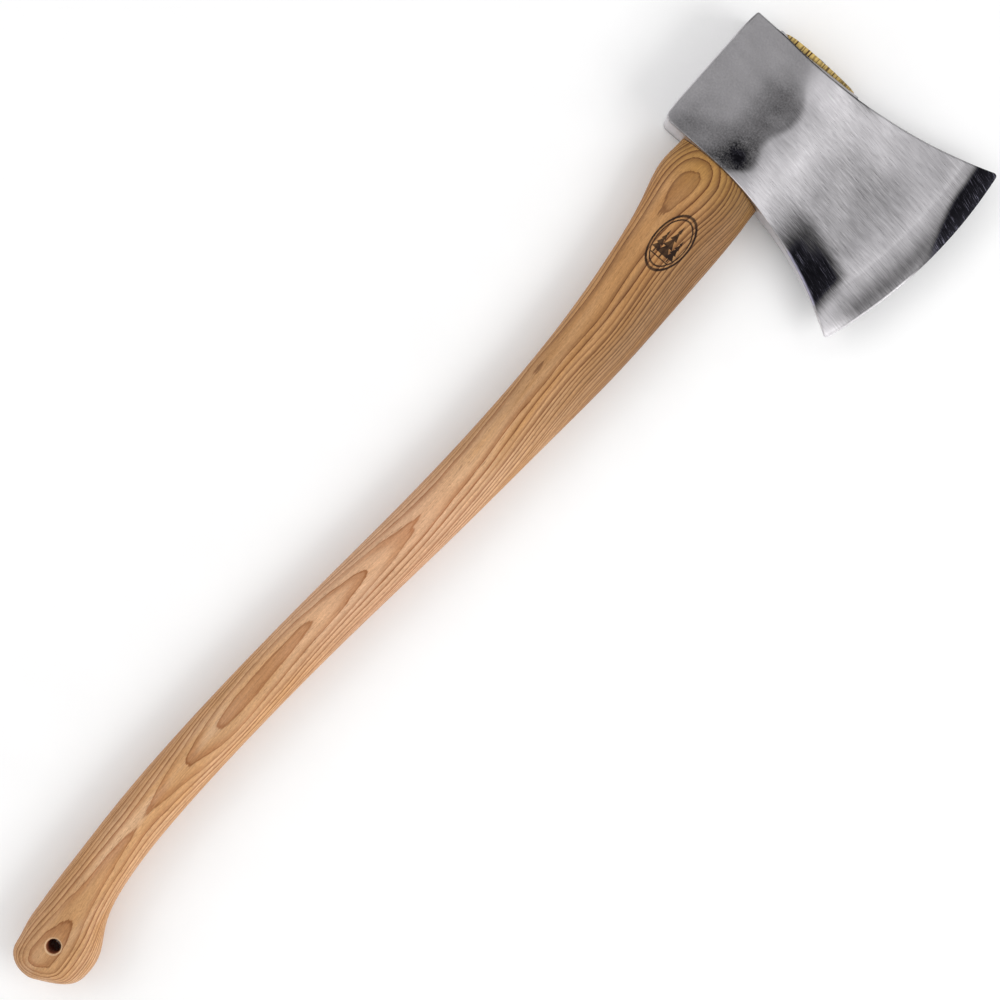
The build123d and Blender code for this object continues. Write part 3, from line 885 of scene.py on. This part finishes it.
# --- node helpers
class Paint:
    """Builds the nodes of a material, or of the world, in a few words."""

    def __init__(self, name, kind="materials", shader="Principled BSDF"):
        self.owner = getattr(bpy.data, kind).new(name)
        self.owner.use_nodes = True
        self.tree = self.owner.node_tree
        self.shader = self.tree.nodes[shader]

    def feed(self, node, inputs):
        """Links or sets a node's inputs."""
        for key, value in inputs.items():
            if isinstance(value, bpy.types.NodeSocket):
                self.tree.links.new(value, node.inputs[key])
            else:
                node.inputs[key].default_value = value

    def surface(self, inputs):
        self.feed(self.shader, inputs)
        return self.owner

    def node(self, kind, inputs=None, out=0, **settings):
        """A new node's output, with its settings made and its inputs linked or set."""
        made = self.tree.nodes.new("ShaderNode" + kind)
        for key, value in settings.items():
            setattr(made, key, value)
        self.feed(made, inputs or {})
        return made.outputs[out]

    def layer(self, name, out="Fac"):
        return self.node("Attribute", out=out, attribute_name=name)

    def object_mm(self):
        """The object's own coordinates, in millimetres."""
        own = self.node("TexCoord", out="Object")
        return self.node("Mapping", {"Vector": own, "Scale": (1000,) * 3})

    def parts(self, vector):
        return self.node("SeparateXYZ", {"Vector": vector}, slice(3))

    def math(self, operation, a, b=0.0, clamp=False):
        return self.node("Math", {0: a, 1: b}, operation=operation, use_clamp=clamp)

    def plus(self, a, b):
        return self.math("ADD", a, b)

    def minus(self, a, b, clamp=False):
        return self.math("SUBTRACT", a, b, clamp)

    def times(self, a, b, clamp=False):
        return self.math("MULTIPLY", a, b, clamp)

    def size(self, a):
        return self.math("ABSOLUTE", a)

    def noise(self, vector, size, detail=2.0, rough=0.5, turn=0.0):
        """Noise whose spots have that size in millimetres, turned about +Z by degrees."""
        inputs = {"Vector": vector, "Scale": size, "Rotation": (0, 0, math.radians(turn))}
        vector = self.node("Mapping", inputs, vector_type="TEXTURE")
        inputs = {"Vector": vector, "Scale": 1.0, "Detail": detail, "Roughness": rough}
        return self.node("TexNoise", inputs, "Fac")

    def fit(self, value, low, high, to_low=0.0, to_high=1.0, kind="SMOOTHSTEP"):
        """A value between low and high, eased on to another scale."""
        inputs = {0: value, 1: low, 2: high, 3: to_low, 4: to_high}
        return self.node("MapRange", inputs, interpolation_type=kind)

    def line(self, value, to_low, to_high, low=0.2, high=0.8):
        """The same in a straight line; noise mostly lies between 0.2 and 0.8."""
        return self.fit(value, low, high, to_low, to_high, "LINEAR")

    def ramp(self, value, stops):
        out = self.node("ValToRGB", {"Fac": value})
        elements = out.node.color_ramp.elements
        while len(elements) < len(stops):
            elements.new(0.5)
        for element, (at, level) in zip(elements, stops):
            element.position, element.color = at, (level, level, level, 1)
        return out

    def blend(self, share, a, b):
        """A number between two others."""
        return self.node("Mix", {0: share, 2: a, 3: b}, data_type="FLOAT")

    def mix(self, share, a, b, blend="MIX"):
        """A colour between two others."""
        a, b = ((*v, 1) if isinstance(v, tuple) else v for v in (a, b))
        return self.node("Mix", {0: share, 6: a, 7: b}, 2, data_type="RGBA", blend_type=blend)

    def scaled(self, colour, level):
        """A colour made lighter or darker by a number."""
        grey = self.node("CombineColor", {0: level, 1: level, 2: level})
        return self.mix(1.0, colour, grey, "MULTIPLY")

    def bump(self, height, strength, distance):
        return self.node("Bump", {"Height": height, "Strength": strength, "Distance": distance})


def rgb(*value):
    """A colour from 0 to 255, as seen on a screen, made linear."""
    return tuple((v / 255 / 12.92 if v < 10.3 else ((v / 255 + 0.055) / 1.055) ** 2.4) for v in value)


# --- wood
MARK_AHEAD, MARK_ALONG = 51.5, -92.0
MARK_HALF_WIDTH, MARK_HALF_LENGTH = 10.5, 18.5
MARK_RINGS = ((0.0, 0.48), (-1.5, 0.28))
MARK_TREES = ((0.0, -8.5, 21.0), (-4.9, -8.0, 14.0), (4.9, -8.0, 14.0))


def burned_mark(p, own):
    """A burned-in oval ring round three conifers, 1 where the wood is scorched."""
    parts = p.parts(own)
    across = p.minus(parts[0], MARK_AHEAD)
    height = p.minus(parts[1], MARK_ALONG)
    blur = p.times(p.minus(p.noise(own, (0.7, 0.7, 0.7)), 0.5), 0.5)
    oval_x = p.math("DIVIDE", across, MARK_HALF_WIDTH)
    oval_y = p.math("DIVIDE", height, MARK_HALF_LENGTH)
    reach = p.math("SQRT", p.plus(p.times(oval_x, oval_x), p.times(oval_y, oval_y)))
    outward = p.times(p.minus(reach, 1.0), MARK_HALF_WIDTH)
    # Each shape is the distance outside it, in millimetres.
    shapes = [p.minus(p.size(p.minus(outward, offset)), width) for offset, width in MARK_RINGS]
    # Three trees side by side, each a stack of widening teeth on a short trunk.
    for centre, foot, tall in MARK_TREES:
        side = p.size(p.minus(across, centre))
        up = p.math("DIVIDE", p.minus(height, foot), tall)
        tooth = p.math("FRACT", p.times(up, 4.0))
        taper = p.times(p.minus(1.0, up), tall * 0.17)
        half = p.times(taper, p.minus(1.25, p.times(tooth, 0.75)))
        ends = p.math("MAXIMUM", p.times(up, -tall), p.times(p.minus(up, 1.0), tall))
        shapes.append(p.math("MAXIMUM", p.minus(side, half), ends))
        trunk = p.minus(p.size(p.minus(height, foot - 0.8)), 1.4)
        shapes.append(p.math("MAXIMUM", p.minus(side, 0.35), trunk))
    ground = p.minus(p.size(p.minus(height, -10.9)), 0.3)
    shapes.append(p.math("MAXIMUM", ground, p.minus(p.size(across), 6.4)))
    nearest_shape = shapes[0]
    for shape in shapes[1:]:
        nearest_shape = p.math("MINIMUM", nearest_shape, shape)
    mark = p.fit(p.plus(nearest_shape, blur), 0.26, -0.18)
    # The iron pressed a little unevenly, and only on the upper face.
    pressed = p.fit(p.noise(own, (6, 6, 6), 3), 0.3, 0.6, 0.84, 1.0)
    return p.times(p.times(mark, pressed), p.fit(parts[2], 4.0, 6.0))


def hickory():
    p = Paint("hickory")
    own = p.layer("own", "Vector")
    grain_mm = p.layer("grain", "Vector")
    crest = p.layer("crest")
    near = p.layer("near_head")
    # Growth rings, wavering a little; across the tongue's end they lie square to the eye.
    waver = p.noise(grain_mm, (60, 9, 9), 3)
    tremor = p.noise(grain_mm, (14, 1.5, 1.5), 3, 0.6)
    own_parts = p.parts(own)
    uneven = p.noise(own, (3.4, 90, 30), 2, 0.6)
    across = p.plus(p.times(own_parts[0], 0.4), p.times(uneven, 3.6))
    ring = p.blend(crest, p.layer("ring"), across)
    ring = p.plus(ring, p.line(waver, -0.4, 0.4, 0, 1))
    ring = p.plus(ring, p.line(tremor, -0.09, 0.09, 0, 1))
    # Away from the ridge the rings are unevenly wide.
    off_ridge = p.size(p.parts(grain_mm)[1])
    season = p.node("TexNoise", {"W": ring, "Scale": 0.55, "Detail": 1.0}, "Fac", noise_dimensions="1D")
    season = p.times(p.line(season, -0.42, 0.42), p.fit(off_ridge, 8.0, 15.0))
    ring = p.plus(ring, p.times(season, p.minus(1.0, crest)))
    share = p.math("FRACT", ring)
    fate = p.node("TexWhiteNoise", {"W": p.math("FLOOR", ring)}, "Value", noise_dimensions="1D")
    # Late wood darkens towards the ring's outer line and breaks off sharply.
    late = p.ramp(share, [(0.0, 0.8), (0.045, 0.15), (0.14, 0), (0.42, 0.1), (0.68, 0.38), (0.86, 0.74),
                          (0.955, 1), (1.0, 0.98)])
    # Where the layers lie nearly level the rings are wide, evenly brown and thinly outlined.
    wide_late = p.ramp(share, [(0.0, 0.7), (0.03, 0.1), (0.2, 0), (0.5, 0.16), (0.72, 0.4), (0.9, 0.52),
                               (0.965, 0.95), (1.0, 0.9)])
    late = p.mix(p.fit(off_ridge, 12.0, 6.0), late, wide_late)
    late = p.times(late, p.line(fate, 0.66, 1.08, 0, 1), clamp=True)
    sawn = p.times(p.fit(share, 0.42, 0.8), p.fit(share, 1.0, 0.9, 0.6, 1.0))
    sawn = p.times(sawn, p.fit(fate, 0.1, 0.5, 0.5, 1.0))
    late = p.blend(crest, late, sawn)
    # Pores: short dark dashes along the grain, mostly in the early wood.
    pores = p.fit(p.noise(grain_mm, (4.5, 0.42, 0.42), 2, 0.6), 0.56, 0.7)
    pores = p.times(pores, p.fit(share, 0.6, 0.05, 0.25, 1.0))
    fibre = p.noise(grain_mm, (22, 0.8, 0.8), 4, 0.7)
    speckle = p.noise(grain_mm, (1.9, 0.9, 0.9), 3, 0.75)
    broad = p.noise(grain_mm, (120, 14, 14))
    tint = p.noise(grain_mm, (70, 8, 8))
    # Early wood: paler in the handle's middle, browner and then olive towards the head.
    light = p.mix(p.fit(tint, 0.34, 0.66), rgb(232, 188, 146), rgb(222, 170, 118))
    light = p.mix(p.fit(broad, 0.35, 0.7, 0.0, 0.6), light, rgb(210, 156, 102))
    light = p.mix(p.times(p.layer("pale"), 0.6), light, rgb(222, 179, 147))
    ruddy = p.times(p.fit(share, 0.45, 0.8), p.fit(off_ridge, 9.0, 4.0))
    light = p.mix(p.times(ruddy, 0.35), light, rgb(204, 138, 88))
    near_light = p.mix(p.fit(tint, 0.34, 0.66), rgb(192, 144, 94), rgb(182, 132, 80))
    light = p.mix(near, light, near_light)
    olive = p.fit(own_parts[1], -72.0, -42.0)
    light = p.mix(p.times(olive, 0.65), light, rgb(172, 130, 66))
    light = p.mix(crest, light, rgb(212, 182, 108))
    dark = p.mix(p.fit(tint, 0.3, 0.7), rgb(158, 94, 50), rgb(142, 86, 40))
    dark = p.mix(near, dark, rgb(90, 45, 12))
    dark = p.mix(crest, dark, rgb(58, 24, 6))
    # Scaled by the wood's tone and by painted shade on the back edge and at the crest's foot.
    colour = p.scaled(p.mix(late, light, dark), p.layer("shade"))
    streaks = p.line(fibre, 1.15, 0.77, 0.25, 0.75)
    streaks = p.times(streaks, p.line(speckle, 1.17, 0.83, 0.25, 0.75))
    colour = p.mix(p.times(pores, 0.5), p.scaled(colour, streaks), rgb(104, 60, 28))
    # The hang hole: a painted highlight on its chamfer and painted shade down its bore.
    hole = p.layer("hole")
    pale = p.times(p.fit(hole, 0.15, 0.35), p.fit(hole, 1.25, 0.95))
    colour = p.mix(p.times(pale, 0.5), colour, rgb(236, 206, 168))
    colour = p.mix(p.fit(hole, 0.25, 0.1, 0.0, 0.8), colour, rgb(134, 68, 48))
    mark = burned_mark(p, own)
    colour = p.mix(p.times(mark, 0.98), colour, rgb(26, 9, 3))
    relief = p.plus(p.times(late, 0.5), p.times(pores, -0.8))
    relief = p.minus(p.plus(relief, p.times(fibre, 0.5)), p.times(mark, 1.5))
    return p.surface({
        "Base Color": colour,
        "Roughness": p.plus(p.fit(fibre, 0.2, 0.8, 0.42, 0.58), p.times(mark, 0.35)),
        "Specular IOR Level": 0.28,
        "Normal": p.bump(relief, 0.5, 0.00009),
    })


def wedge_beech():
    """End grain of the driven wedge: sawn, a little crushed and darker than the handle."""
    p = Paint("wedge_beech")
    own = p.object_mm()
    rings = p.noise(own, (60, 9, 0.8))
    flecks = p.noise(own, (8, 1.4, 0.25), 2, 0.6)
    crushed = p.noise(own, (2.5, 2.5, 1.5), 4, 0.7)
    colour = p.mix(p.fit(rings, 0.35, 0.65), rgb(196, 150, 102), rgb(168, 120, 74))
    colour = p.mix(p.fit(flecks, 0.58, 0.72, 0.0, 0.6), colour, rgb(112, 70, 38))
    colour = p.mix(p.fit(crushed, 0.4, 0.75, 0.0, 0.5), colour, rgb(140, 96, 58))
    return p.surface({
        "Base Color": colour,
        "Roughness": p.fit(crushed, 0.2, 0.8, 0.6, 0.85),
        "Normal": p.bump(p.plus(flecks, crushed), 0.7, 0.0002),
    })


# --- steel
def ground_steel():
    """Bare steel: satin on the poll, brushed by the grinding wheel on the cheeks and the bit."""
    p = Paint("ground_steel")
    own = p.layer("own", "Vector")
    # The head's painted reflections and painted rim shade, read from its vertices.
    tone = p.layer("tone")
    ground = p.layer("ground")
    streak = p.noise(own, (24, 0.9, 3), 3, 0.6, turn=-6)
    fine = p.noise(own, (10, 0.3, 1.2), 3, 0.65, turn=-4)
    speck = p.noise(own, (1.1, 1.1, 1.1), 3, 0.7)
    cloud = p.noise(own, (16, 9, 9), 3)
    # Where the painted reflection is half dark it is ragged: blotchy on the poll, streaky where the
    # grinding crossed it.
    half_way = p.times(tone, p.minus(1.0, tone, clamp=True))
    blotchy = p.plus(p.fit(tone, 0.75, 0.4, 0.5, 1.5), p.fit(tone, 0.36, 0.14, 0.0, 4.0))
    patchy = p.times(p.minus(p.plus(speck, cloud), 1.0), blotchy)
    coarse = p.minus(p.plus(streak, fine), 1.0)
    coarse = p.times(coarse, p.line(p.layer("bit"), 2.1, 0.8, 0, 1))
    tone = p.plus(tone, p.times(p.blend(ground, patchy, coarse), half_way))
    tone = p.math("MAXIMUM", tone, 0.012)
    satin = p.line(speck, 0.955, 1.045)
    brushed = p.times(p.line(streak, 0.84, 1.16), p.line(fine, 0.86, 1.14))
    surface = p.times(p.blend(ground, satin, brushed), p.line(cloud, 0.95, 1.05))
    grey = p.times(p.times(tone, surface), 0.72)
    # Fine bright scratches across the painted dark reflections, and a painted highlight along the rim of
    # the heel's side.
    scratch = p.fit(p.noise(own, (13, 0.5, 2), 4, 0.7, turn=-16), 0.54, 0.74)
    dark_reflection = p.math("POWER", p.minus(1.0, tone, clamp=True), 3.0)
    grey = p.plus(grey, p.times(p.times(scratch, dark_reflection), 0.15))
    grey = p.math("MAXIMUM", grey, p.times(p.layer("rim"), p.fit(fine, 0.2, 0.8, 0.3, 0.55)))
    # Bare steel is faintly warm; the painted dark reflections are tinted blue-black.
    green = p.times(grey, 0.972)
    blue = p.times(grey, p.fit(dark_reflection, 0.72, 0.95, 1.0, 1.25))
    rough = p.blend(ground, p.fit(speck, 0.2, 0.8, 0.36, 0.44), p.fit(fine, 0.2, 0.8, 0.26, 0.38))
    relief = p.blend(ground, p.times(speck, 0.5), fine)
    return p.surface({
        "Base Color": p.node("CombineColor", {0: grey, 1: green, 2: blue}),
        "Metallic": 1.0,
        "Roughness": rough,
        "Anisotropic": 0.35,
        "Tangent": p.node("Tangent", direction_type="RADIAL", axis="X"),
        "Normal": p.bump(relief, 0.2, 0.00003),
    })


def ring_steel():
    """The driven ring: mill scale."""
    p = Paint("ring_steel")
    own = p.object_mm()
    scale = p.noise(own, (2.2, 2.2, 2.2), 4, 0.65)
    speck = p.noise(own, (0.4, 0.4, 0.4), 2, 0.6)
    return p.surface({
        "Base Color": p.mix(p.fit(scale, 0.35, 0.68), (0.42, 0.42, 0.43), (0.2, 0.195, 0.2)),
        "Metallic": 1.0,
        "Roughness": p.fit(scale, 0.25, 0.75, 0.32, 0.6),
        "Normal": p.bump(p.plus(scale, p.times(speck, 0.4)), 0.5, 0.00012),
    })


for name, paint in (("forged_head", ground_steel), ("handle_body", hickory),
                    ("wooden_wedge", wedge_beech), ("ring_wedge", ring_steel)):
    obj, material = bpy.data.objects[name], paint()
    if not obj.material_slots:
        obj.data.materials.append(material)
    for slot in obj.material_slots:
        slot.material = material


# --- floor, light and camera
FLOOR_HALF, FLOOR_GAP = 25.0, 0.0003


def white_floor():
    p = Paint("studio_floor")
    cloud = p.noise(p.node("TexCoord", out="Object"), (0.03, 0.03, 0.03))
    return p.surface({
        "Base Color": p.mix(p.fit(cloud, 0.3, 0.7), (0.97, 0.97, 0.97), (0.98, 0.98, 0.98)),
        "Roughness": 0.9,
        "Specular IOR Level": 0.1,
    })


floor = new_object("floor", bpy.data.meshes.new("floor"))
bm = bmesh.new()
bmesh.ops.create_grid(bm, x_segments=2, y_segments=2, size=FLOOR_HALF)
bm.to_mesh(floor.data)
bm.free()
floor.location = (0, 0, CAD_BOX[0][2] - FLOOR_GAP)
floor.data.materials.append(white_floor())

def pale_studio():
    """A studio that the steel reflects: pale all round and darker overhead."""
    p = Paint("studio", "worlds", "Background")
    dark_way = np.array([0.2, 0.05, 1.0])
    dark_way = tuple(dark_way / np.linalg.norm(dark_way))
    looking = {0: p.node("TexCoord", out="Generated"), 1: dark_way}
    facing = p.node("VectorMath", looking, "Value", operation="DOT_PRODUCT")
    sky = p.node("ValToRGB", {"Fac": facing})
    ramp = sky.node.color_ramp
    ramp.interpolation = "EASE"
    bright, dim = ramp.elements
    bright.position, bright.color = 0.84, (1.0, 1.0, 1.0, 1)
    dim.position, dim.color = 0.985, (0.3, 0.3, 0.31, 1)
    return p.surface({"Color": sky, "Strength": 0.85})


scene.world = pale_studio()


def softbox(name, where, size, power):
    """A wide lamp that faces the middle of the frame."""
    lamp = bpy.data.lights.new(name, "AREA")
    lamp.shape, lamp.energy = "RECTANGLE", power
    lamp.size, lamp.size_y = size
    box = new_object(name, lamp)
    box.location = where
    box.rotation_euler = (-box.location).to_track_quat("-Z", "Y").to_euler()


softbox("front_softbox", (0.5, -1.5, 1.25), (1.6, 0.9), 16)
softbox("back_softbox", (-0.6, 1.5, 1.2), (1.6, 0.9), 7)

lens = bpy.data.cameras.new("camera")
lens.lens, lens.sensor_width = 80.6, 36
camera = new_object("camera", lens)
camera.location = (0.02775, 0.00966, MID_Z + 1.30)
camera.rotation_euler = (0, 0, math.radians(-48.5))
scene.camera = camera
scene.view_settings.view_transform = "Standard"
